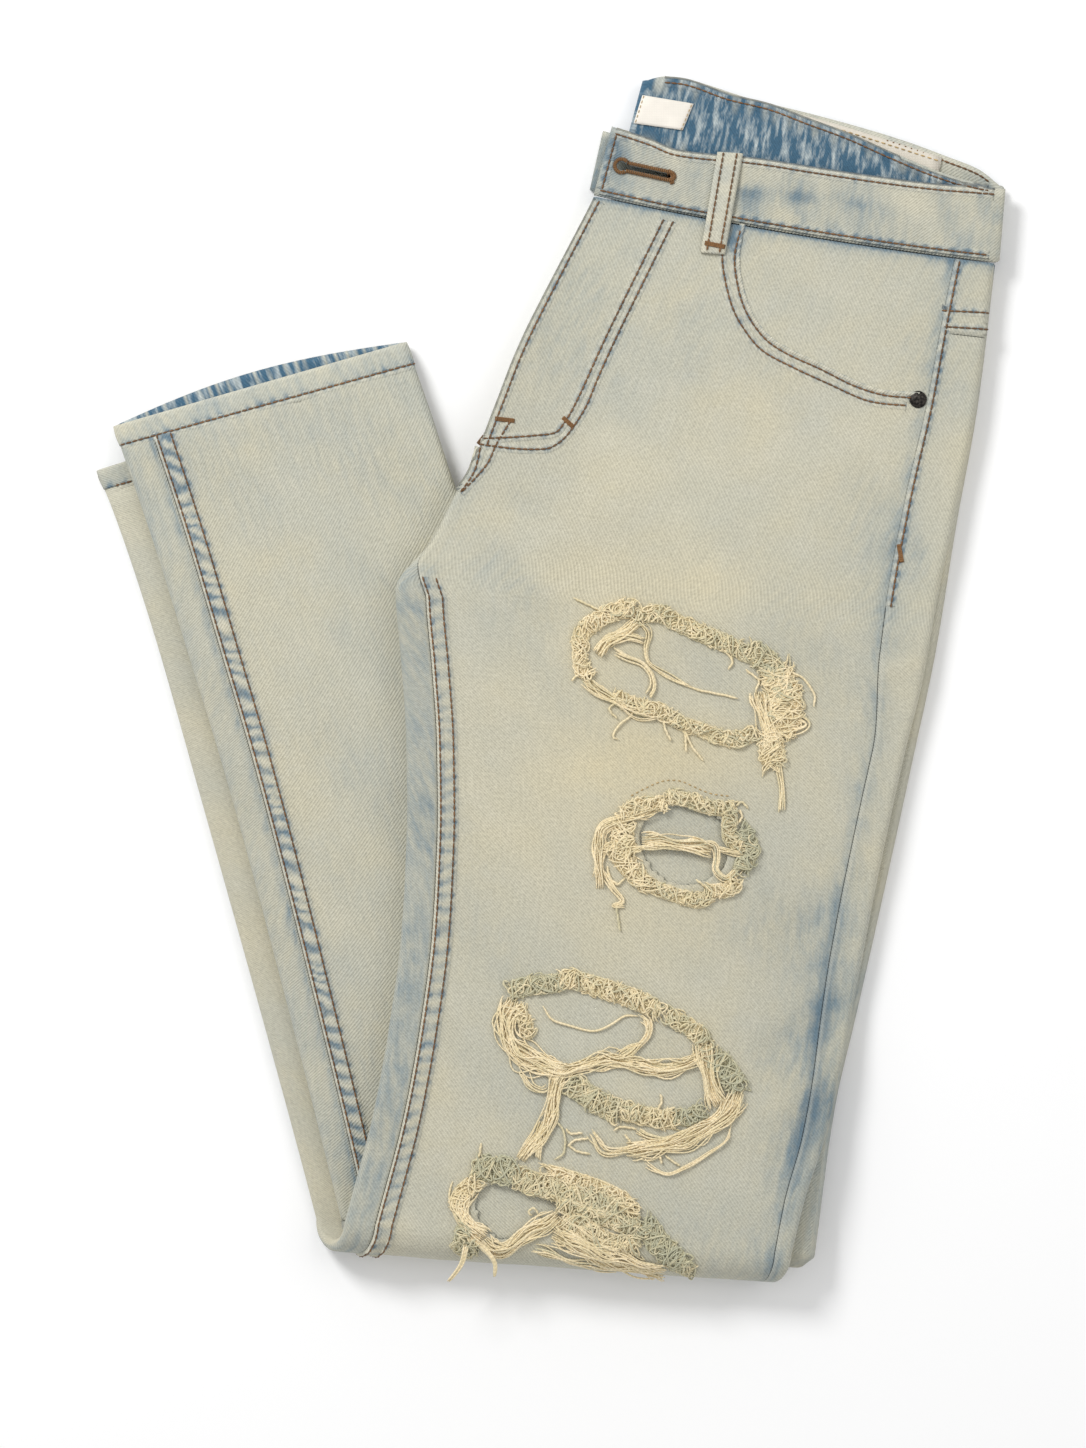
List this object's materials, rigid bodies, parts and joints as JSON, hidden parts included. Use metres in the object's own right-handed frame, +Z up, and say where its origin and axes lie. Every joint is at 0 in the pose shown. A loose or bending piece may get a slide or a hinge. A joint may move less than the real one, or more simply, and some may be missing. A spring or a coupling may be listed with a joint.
{
  "type": "folded ripped jeans",
  "caption": "Pale washed denim jeans, folded in half and under at the knee, lying flat, with frayed rips on the thigh and knee, a pocket mouth and a waistband",
  "frame": {"origin": "on the surface the garment lies on, under the middle of its bounding box", "axes": "+X across the folded garment towards the outseam side, +Y towards the waist, +Z up from the surface"},
  "size_m": [0.4742, 0.628, 0.0352],
  "materials": {
    "denim": "pale washed cotton twill with faint blue and yellow casts",
    "label": "smooth woven polyester tape",
    "patch": "washed pale card-like patch",
    "rivet": "dark oxidised metal",
    "yarn": "loose cotton yarn, cream"
  },
  "bodies": {
    "root": {"left_front_leg": "denim", "left_back_leg": "denim", "left_back_yoke": "denim", "right_front_leg": "denim", "right_back_leg": "denim", "left_hem": "denim", "right_hem": "denim", "hidden_layers": "denim", "waistband": "denim", "belt_loop": "denim", "pocket_facing": "denim", "woven_label": "label", "waist_patch": "patch", "pocket_rivet": "rivet", "rip_backing_1": "denim", "rip_backing_2": "denim", "rip_backing_3": "denim", "rip_backing_4": "denim", "rip_fray_1": "yarn", "rip_fray_2": "yarn", "rip_fray_3": "yarn", "rip_fray_4": "yarn"}
  },
  "joints": []
}
